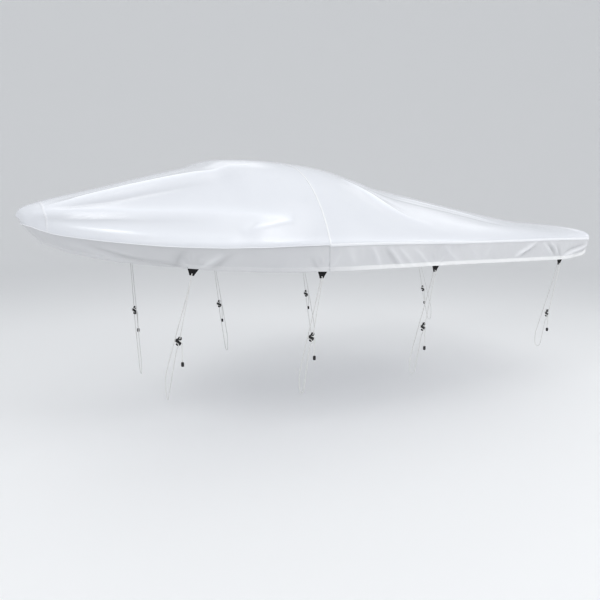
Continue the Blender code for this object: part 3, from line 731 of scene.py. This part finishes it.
# Skirts. The cloth that hangs from the gunwale seam to the hem: two panels on each side and one
# across the stern. The lower edge is turned up and stitched, and pulls towards the tabs. The
# places of their creases have a share of the way down, and the stern's have a share of its half
# beam for the station.
SKIRT_CREASES = {PORT: (
    (16, 0.6, (32, 30, 0), (45, 53, -7), (62, 78, -10), (78, 97, -5), (84, 100, 0)),
    (12, 0.5, (40, 30, 0), (52, 50, 5), (68, 72, 7), (84, 93, 0)),
    (10, 0.5, (58, 60, 0), (70, 76, -7), (85, 93, -7), (90, 100, 0)),
    (16, 0.7, (90, 5, 0), (88, 30, -7), (86, 65, -10), (86, 100, -5)),
    (12, 0.5, (111, 25, 0), (108, 45, 7), (103, 72, 10), (99, 90, 0)),
    (14, 0.6, (120, 15, 0), (114, 45, -5), (108, 80, -9), (103, 100, 0)),
    (20, 0.8, (15, 30, 0), (28, 45, 5), (45, 75, 5), (60, 95, 0)),
    (12, 0.6, (166, 35, 0), (170, 65, -5), (176, 95, 0)),
    (14, 0.6, (192, 30, 0), (188, 60, 5), (183, 92, 0)),
    (18, 0.7, (197, 10, 0), (201, 45, 7), (206, 90, 0)),
    (14, 0.5, (219, 10, 0), (222, 35, 10), (226, 70, 10), (230, 100, 0)),
    (12, 0.5, (234, 10, 0), (240, 40, 10), (247, 80, 9), (252, 100, 0)),
    (12, 0.6, (230, 12, 0), (236, 45, -7), (242, 80, -7), (247, 100, 0)),
    (12, 0.5, (244, 12, 0), (251, 45, 9), (260, 85, 7), (264, 100, 0)),
    (12, 0.5, (260, 20, 0), (268, 50, 9), (277, 88, 7), (282, 100, 0)),
    (16, 0.6, (293, 10, 0), (298, 40, 7), (308, 80, 5), (314, 100, 0)),
    (16, 0.7, (320, 15, 0), (328, 50, 5), (338, 90, 0)),
    (18, 0.7, (350, 15, 0), (344, 50, 5), (340, 90, 0)),
    (12, 0.4, (380, 78, 0), (387, 62, 15), (397, 40, 17), (407, 16, 9), (410, 8, 0)),
    (12, 0.6, (384, 88, 0), (393, 66, -10), (402, 45, -12), (411, 22, 0)),
    (9, 0.4, (416, 12, 0), (422, 32, 12), (428, 58, 14), (434, 85, 0)),
    (8, 0.5, (421, 12, 0), (428, 35, -10), (434, 60, -12), (440, 90, 0)),
    (9, 0.4, (426, 10, 0), (433, 35, 12), (439, 60, 12), (445, 90, 0)),
    (9, 0.5, (434, 20, 0), (440, 45, -7), (446, 85, -7), (449, 100, 0)),
    (10, 0.4, (450, 88, 0), (458, 72, 14), (468, 60, 14), (479, 50, 7)),
    (10, 0.6, (449, 72, 0), (457, 58, -10), (467, 46, -10), (478, 36, 0)),
    (10, 0.5, (460, 98, 0), (468, 84, -9), (479, 72, -7)),
), STARBOARD: (
    (16, 0.6, (36, 30, 0), (52, 58, -9), (70, 85, -7), (82, 100, 0)),
    (12, 0.5, (46, 28, 0), (62, 56, 7), (82, 90, 0)),
    (14, 0.6, (95, 10, 0), (93, 45, -7), (92, 90, -7), (92, 100, 0)),
    (12, 0.5, (116, 25, 0), (110, 55, 9), (101, 90, 0)),
    (18, 0.7, (140, 20, 0), (146, 60, 5), (155, 95, 0)),
    (14, 0.6, (190, 25, 0), (187, 60, 7), (183, 95, 0)),
    (14, 0.5, (214, 10, 0), (219, 45, 10), (226, 100, 0)),
    (14, 0.5, (238, 12, 0), (246, 50, 10), (255, 100, 0)),
    (12, 0.6, (252, 12, 0), (260, 50, -9), (270, 100, 0)),
    (12, 0.5, (266, 18, 0), (273, 55, 9), (282, 100, 0)),
    (16, 0.6, (308, 15, 0), (300, 55, 7), (292, 100, 0)),
    (18, 0.7, (346, 15, 0), (354, 55, 7), (362, 95, 0)),
    (12, 0.4, (390, 80, 0), (398, 55, 15), (410, 18, 7), (412, 8, 0)),
    (10, 0.5, (420, 12, 0), (428, 45, 14), (438, 88, 0)),
    (9, 0.5, (428, 12, 0), (436, 50, -12), (443, 92, 0)),
    (10, 0.4, (451, 86, 0), (462, 66, 14), (479, 48, 7)),
    (10, 0.6, (450, 70, 0), (462, 50, -10), (478, 34, 0)),
)}
STERN_CREASES = (
    (14, 0.5, (-98, 40, 7), (-86, 55, 12), (-70, 80, 0)),
    (14, 0.5, (-97, 72, 7), (-84, 82, 10), (-72, 95, 0)),
    (16, 0.6, (-62, 15, 0), (-55, 50, 9), (-50, 95, 0)),
    (20, 0.7, (-30, 12, 0), (-34, 50, -9), (-38, 95, 0)),
    (16, 0.6, (-5, 20, 0), (-9, 55, 9), (-12, 100, 0)),
    (18, 0.6, (18, 12, 0), (23, 50, 9), (27, 100, 0)),
    (18, 0.7, (44, 15, 0), (40, 55, -9), (38, 95, 0)),
    (14, 0.5, (66, 20, 0), (58, 55, 9), (52, 95, 0)),
    (14, 0.5, (98, 42, 7), (85, 58, 12), (68, 85, 0)),
)
HEM_TALL = 0.032
HEM_LINE = 0.028  # from the edge to the stitches


def hem_at(low):
    """Where the cloth is turned up, by the distance from its lower edge."""
    return 1 - ramp(low, HEM_TALL - 0.002, HEM_TALL + 0.001)


def tab_pull(grid, side):
    """How the tabs of one side gather the cloth above them into short rays."""
    lift = np.zeros(grid.shape[:-1])
    for tie in (tie for tie in TIES if tie.side == side):
        top, across, down, *_ = tie_frame(tie)
        away = grid - np.array(top)
        beside, above = away @ np.array(across), -(away @ np.array(down))
        reach = np.hypot(beside, above)
        rays = np.cos(np.arctan2(above + 0.01, beside) * 9 + tie.tab * 5)
        rays *= ramp(reach, 0.02, 0.05) * (1 - ramp(reach, 0.06, 0.13))
        lift += 0.003 * rays * (above > -0.02) - 0.0012 * np.exp(-((reach / 0.06) ** 2))
    return lift


def skirt_place(side, stations, drops):
    """Points of a side skirt at stations and shares of the way down."""
    return skirt_at(row_of(stations), side, drops)


# The top's cloth made darker as painted shade, since the skirt hangs below the gunwale out of the
# light.
skirt_painted_shade_material = cloth_material(
    "skirt cloth", (0.675, 0.68, 0.695), (0.63, 0.635, 0.655), (0.84, 0.845, 0.85), 0.34, 0.18
)
drops = np.concatenate([np.linspace(0.004, 0.78, 17), np.linspace(0.8, 1.0, 10)])
for side, word in SIDES:
    for name, first, last in (
        ("skirt_bow_", STEM_ROW, SCREEN_SEAM), ("skirt_side_", SCREEN_SEAM, STERN)
    ):
        rows = steps_along(first, last, 0.011)
        if last < STERN:
            rows = np.append(rows, 2 * rows[-1] - rows[-2])
        grid = skirt_at(rows[:, None], side, drops)
        fall = travel(grid, 1)
        low = fall[:, -1:] - fall
        aft = ramp(rows, 11.0, 14.0)[:, None]
        lift, crest = crease_lift(grid, SKIRT_CREASES[side], partial(skirt_place, side))
        lift += tab_pull(grid, side)
        lift += slack(grid, (7, 2, 5), 2 * side) * (0.0035 + 0.0025 * aft)
        lift += slack(grid, (22, 4, 9), 6 * side) * (0.001 + 0.0015 * aft)
        lift *= ramp(fall, 0.004, 0.045) * ramp(rows, 0.2, 2.5)[:, None]
        hem = hem_at(low)
        pucker = slack(grid, (55, 8, 4), 9 * side) * ramp(low, 0, 0.02)
        lift += hem * (0.0009 + 0.0007 * pucker)
        lift += 0.0045 * aft * (1 - ramp(low, 0, 0.05)) ** 2
        if first == SCREEN_SEAM:
            lift += 0.0014 * (1 - ramp(travel(grid, 0), FELL, FELL + 0.006))
        # The turned-up hem is marked for a painted highlight, faint forward and strong aft.
        sewn = hem * (0.15 + 0.85 * aft)
        piece, grid, normals = cloth(
            name + word, "skirt", grid, side, skirt_painted_shade_material, lift, sewn=sewn, crest=crest
        )
        lines = [line_at(grid, normals, low, HEM_LINE)]
        if first == SCREEN_SEAM:
            lines.append((grid[1, 1:-1], normals[1, 1:-1]))
        sew(piece, lines)

shares = np.linspace(-1, 1, 181)
grid = transom_at(shares[:, None], drops)
fall = travel(grid, 1)
low = fall[:, -1:] - fall
lift, crest = crease_lift(grid, STERN_CREASES, transom_at)
lift += slack(grid, (4, 7, 5), 4) * 0.004
lift *= ramp(fall, 0.004, 0.04) * ramp(1 - np.abs(shares), 0, 0.05)[:, None]
hem = hem_at(low)
lift += hem * (0.0009 + 0.0006 * slack(grid, (4, 55, 4), 3))
# The stern's hem is marked for the painted highlight of the paler colour.
piece, grid, normals = cloth(
    "skirt_stern", "skirt", grid, -1, skirt_painted_shade_material, lift, sewn=hem, crest=crest
)
sew(piece, [line_at(grid, normals, low, HEM_LINE)])


# Binding and piping. A flat white tape is sewn over the gunwale seam from the windscreen aft,
# and a cord covered in cloth is set in the same seam round the bow.
TAPE_WHITE = (0.88, 0.89, 0.91)
trim_material = cloth_material("seam tape", TAPE_WHITE, (0.84, 0.85, 0.88), TAPE_WHITE, 0.5, 0.0)
TAPE_THICK = 0.001
TAPE_OFF = 0.0022  # above the cloth, to its outer face
TAPE_CROWN = 0.0032  # the same at the gunwale's corner
PIPING_RADIUS = 0.003
PIPING_OFF = 0.0038  # from the seam to its middle


def turned(face, way):
    """Normals turned to the side that a way points to."""
    return face * np.sign(face @ np.array(way))[:, None]


for side, word in SIDES:
    rows = steps_along(SCREEN_SEAM, STERN - 0.6, 0.012)
    seam = skirt_at(rows, side, 0.0)
    up = unit(top_at(rows, side * 0.97) - seam)
    down = unit(skirt_at(rows, side, 0.4) - seam)
    along = unit(np.gradient(seam, axis=0))
    out_up = turned(np.cross(along, up), (0, side, 1))
    out_down = turned(np.cross(along, down), (0, side, 0))
    middle = unit(out_up + out_down)
    near_up, near_down = (out * 0.7 + middle * 0.3 for out in (out_up, out_down))
    wave = slack(seam, (30, 5, 5), 4 * side)[:, None] * 0.0006
    profile = [
        seam + up * 0.0085 + out_up * TAPE_OFF * 0.9,
        seam + up * 0.005 + out_up * (TAPE_OFF + 0.0006 + wave),
        seam + up * 0.0015 + near_up * TAPE_CROWN,
        seam + middle * TAPE_CROWN,
        seam + down * 0.0018 + near_down * TAPE_CROWN,
        seam + down * 0.009 + out_down * (TAPE_OFF + 0.0004 + wave),
        seam + down * 0.0145 + out_down * TAPE_OFF * 0.9,
    ]
    piece, grid, normals = cloth(
        "binding_" + word, "binding", np.stack(profile, 1), side, trim_material, thick=TAPE_THICK
    )
    upper = grid[:, 0] * 0.7 + grid[:, 1] * 0.3
    lower = grid[:, 5] * 0.5 + grid[:, 6] * 0.5
    sew(piece, [(upper, normals[:, 0]), (lower, normals[:, 5])])

sides = []
for side, _ in SIDES:
    rows = steps_along(0.0, SCREEN_SEAM, 0.012)
    outward = unit(np.stack([-np.exp(-rows), side * np.minimum(rows, 1), rows * 0], -1))
    sides.append(skirt_at(np.maximum(rows, 0.02), side, 0.0) + outward * PIPING_OFF)
points = [Vector(p) for p in np.concatenate([sides[0][::-1], sides[1][1:]])]
mesh = tube_mesh("cloth_piping_bow", points, PIPING_RADIUS, 8)
piece = new_object("cloth_piping_bow", mesh, trim_material, "binding", "piping_bow")


# Tabs. Black webbing folded to a wide top and a narrow foot, sewn behind the hem, with an eye
# that the cord runs through.
webbing = plain_material("webbing", (0.014, 0.014, 0.015), 0.75, specular=0.15)
threaded(webbing, weave, 0.0016, 0.7, 0.0005)


def plate_mesh(name, outline, hole, thick, place, across, along):
    """A flat piece: an outline with a round hole in it, with UVs in metres, laid at a place."""
    curve = bpy.data.curves.new(name, "CURVE")
    curve.dimensions = "2D"
    curve.fill_mode = "BOTH"
    curve.extrude = thick / 2
    for points in (outline, hole):
        spline = curve.splines.new("POLY")
        spline.points.add(len(points) - 1)
        spline.use_cyclic_u = True
        for knot, (x, y) in zip(spline.points, points):
            knot.co = (x, y, 0, 1)
    holder = placed(name, curve)
    bpy.context.view_layer.update()
    made = holder.evaluated_get(bpy.context.evaluated_depsgraph_get())
    flat = bpy.data.meshes.new_from_object(made)
    bpy.data.objects.remove(holder)
    build = bmesh.new()
    build.from_mesh(flat)
    bpy.data.meshes.remove(flat)
    bmesh.ops.remove_doubles(build, verts=build.verts, dist=0.00002)
    uv = build.loops.layers.uv.verify()
    for face in build.faces:
        for loop in face.loops:
            loop[uv].uv = loop.vert.co.xy
    mesh = finished(build, name)
    seat = Matrix((across, along, across.cross(along))).transposed().to_4x4()
    seat.translation = place
    mesh.transform(seat)
    return mesh


def ring(centre, radius, steps):
    """Points round a hole."""
    angles = [2 * math.pi * k / steps for k in range(steps)]
    return [(centre[0] + radius * math.cos(a), centre[1] + radius * math.sin(a)) for a in angles]


def soften(piece, width, segments):
    """Rounds the edges of a moulded or cut piece."""
    edge = piece.modifiers.new("edge", "BEVEL")
    edge.width = width
    edge.segments = segments
    edge.limit_method = "ANGLE"
    edge.angle_limit = math.radians(50)


TAB_LONG = 0.07
TAB_EDGE = (  # half width and distance down one side of a tab in mm, with its rounded foot
    (37, 0), (37, 18), (30, 33), (23.5, 47), (18, 60),
    (16.8, 66), (15, 69), (12, 70), (8, 69.7), (4, 69),
)
half = [(a / 1000, d / 1000) for a, d in TAB_EDGE]
tab_outline = [(-a, d) for a, d in half] + half[::-1]
tab_eye = ring((0, TAB_LONG - TAB_EYE), TAB_EYE_RADIUS, 20)
for tie in TIES:
    top, across, down, *_ = tie_frame(tie)
    name = "webbing_" + tie.name
    mesh = plate_mesh(name, tab_outline, tab_eye, 0.0024, top, across, down)
    piece = new_object(name, mesh, webbing, "webbing", "tab_" + tie.name)
    soften(piece, 0.0006, 2)


# Cleats and beads. Black moulded plastic: a flat S with a ringed eye in its head that the cord
# is knotted in, and a barrel on the cord's free end.
plastic = plain_material("black plastic", (0.017, 0.017, 0.018), 0.38, specular=0.3)
tree = plastic.node_tree
place = new_node(tree, "TexCoord").outputs["Object"]
grain = new_node(tree, "TexNoise", Vector=place, Scale=900)
relief(plastic, grain.outputs["Fac"], 0.15, 0.0002)

CLEAT_THICK = 0.007
# The corners of the cleat's outline in mm: across, up and the radius of each.
CLEAT_CORNERS = (
    (19, 43, 12), (-7, 43, 12), (-8, 26, 8), (-23, 17, 6), (-21, 1, 6), (7.5, -14.5, 3),
    (4.5, -21.3, 3), (-12, -12, 3), (-15, -25, 5), (1, -33, 6), (18, -23, 7), (23, -7, 7),
    (17, 4, 6), (-5.5, 13, 3), (-4.5, 20.5, 3), (19, 14, 9),
)
BEAD_PROFILE = (  # radius and distance down, in mm
    (2.5, 0), (7.5, 0.2), (9.5, 1.8), (10.4, 6), (11, 12), (11, 20), (10.4, 26), (9.5, 30.2),
    (7.5, 31.8), (3, 32), (2.8, 29),
)


def rounded(corners):
    """An outline in metres through corners, each rounded by an arc."""
    points = []
    corners = np.array(corners) / 1000
    for before, corner, after in zip(np.roll(corners, 1, 0), corners, np.roll(corners, -1, 0)):
        here, radius = corner[:2], corner[2]
        to_last, to_next = unit(before[:2] - here), unit(after[:2] - here)
        half = math.acos(to_last @ to_next) / 2
        centre = here + unit(to_last + to_next) * radius / math.sin(half)
        first, last = (here + way * radius / math.tan(half) - centre for way in (to_last, to_next))
        steps = max(2, round((math.pi - 2 * half) / 0.3))
        for step in range(steps + 1):
            points.append(centre + unit(first * (steps - step) + last * step) * radius)
    return np.array(points).tolist()


def spun(name, centre, profile, steps, weld):
    """A shape turned about an upright axis, from radii and heights over its centre."""
    build = bmesh.new()
    x, y, z = centre
    turns = [(math.cos(a), math.sin(a)) for a in np.arange(steps) * 2 * math.pi / steps]
    rings = [
        [build.verts.new((x + r * c, y + r * s, z + h)) for c, s in turns] for r, h in profile
    ]
    for one, other in zip(rings, rings[1:]):
        for k in range(steps):
            build.faces.new((one[k - 1], one[k], other[k], other[k - 1]))
    bmesh.ops.remove_doubles(build, verts=build.verts, dist=weld)
    bmesh.ops.recalc_face_normals(build, faces=build.faces)
    return finished(build, name)


cleat_outline = rounded(CLEAT_CORNERS)
cleat_eye = ring(CLEAT_EYE, CLEAT_EYE_RADIUS, 28)
bead_profile = [(r / 1000, -d / 1000) for r, d in BEAD_PROFILE]
for tie in TIES:
    _, across, down, *_ = tie_frame(tie)
    name, middle = "cleat_body_" + tie.name, cleat_middle(tie)
    mesh = plate_mesh(name, cleat_outline, cleat_eye, CLEAT_THICK, middle, across, -down)
    piece = new_object(name, mesh, plastic, "cleat", "cleat_" + tie.name)
    soften(piece, 0.0012, 3)
    bead_top = cord_route(tie)[-1] - Vector((0, 0, 0.0005))
    name = "bead_barrel_" + tie.name
    mesh = spun(name, bead_top, bead_profile, 28, 0.00005)
    bead = new_object(name, mesh, plastic, "cleat", "bead_" + tie.name)


# Cords. White braid, tied with a stopper knot in the cleat's eye, up through the tab, down round
# the trailer's rail, up through the cleat and down to the bead.
KNOT = 0.0026  # a quarter of the stopper knot's width, about
turns = [2 * math.pi * k / 48 for k in range(49)]
for tie in TIES:
    path = smooth(cord_route(tie), 0.006)
    mesh = tube_mesh("tie_cord_" + tie.name, path, CORD_RADIUS, 12)
    piece = new_object("tie_cord_" + tie.name, mesh, cord_material, "cord", "cord_" + tie.name)
    _, across, down, out, _ = tie_frame(tie)
    heart = path[0] - out * 0.004
    loops = [
        heart
        + across * KNOT * (math.sin(a) + 2 * math.sin(2 * a))
        + down * KNOT * (math.cos(a) - 2 * math.cos(2 * a))
        - out * KNOT * math.sin(3 * a)
        for a in turns
    ]
    mesh = tube_mesh("stopper_knot_" + tie.name, loops, CORD_RADIUS * 0.95, 10)
    knot = new_object("stopper_knot_" + tie.name, mesh, cord_material, "cord")


# Studio. A plain pale floor that curves up all round into a wall, with soft light from all sides.
profile = [(0.001, 0.0), (6.0, 0.0), (13.0, 0.0)]
profile += [(13 + 6 * math.sin(a), 6 - 6 * math.cos(a)) for a in np.linspace(0.1, math.pi / 2, 12)]
profile.append((19.0, 10.0))
mesh = spun("floor", (0, 0, GROUND), profile, 64, 0.002)
mesh.materials.append(plain_material("floor", (0.92, 0.92, 0.92), 0.9))
placed("floor", mesh)

world = bpy.data.worlds.new("studio")
bpy.context.scene.world = world
world.use_nodes = True
sky = world.node_tree.nodes["Background"].inputs
sky["Color"].default_value = (0.93, 0.96, 1.0, 1)
sky["Strength"].default_value = 0.66
bpy.context.scene.view_settings.view_transform = "Standard"

for name, place, aim, size, power in (  # soft lights, each aimed at a point
    ("key", (1.15, -5.3, 3.5), (0, -0.9, -0.4), (1.2, 1.2), 42),
    ("port side", (0.9, -4.6, 5.2), (1, 0, -0.2), (6.5, 2), 46),
    ("port low", (5, -6.8, 0), (3, 0, -0.6), (6, 2.5), 48),
    ("bow", (-5.4, -2.5, 3.9), (-1.7, 0, -0.3), (2.5, 2), 118),
    ("stern", (6.2, -4.8, 2.5), (2.9, -0.5, -0.6), (2.5, 2), 68),
    ("far side", (0.2, 4.6, 4.4), (0.2, 0, -0.1), (6, 2.5), 44),
    ("quarter", (5.6, 1.5, 2.6), (1, -0.6, -0.25), (2.5, 1.5), 10),
    ("overhead", (1, -0.4, 5.5), (1, 0, 0), (8, 4), 20),
):
    data = bpy.data.lights.new(name, "AREA")
    data.shape = "RECTANGLE"
    data.size, data.size_y = size
    data.energy = power
    light = placed(name, data)
    light.location = place
    light.visible_camera = False
    light.rotation_euler = (Vector(aim) - Vector(place)).to_track_quat("-Z", "Y").to_euler()
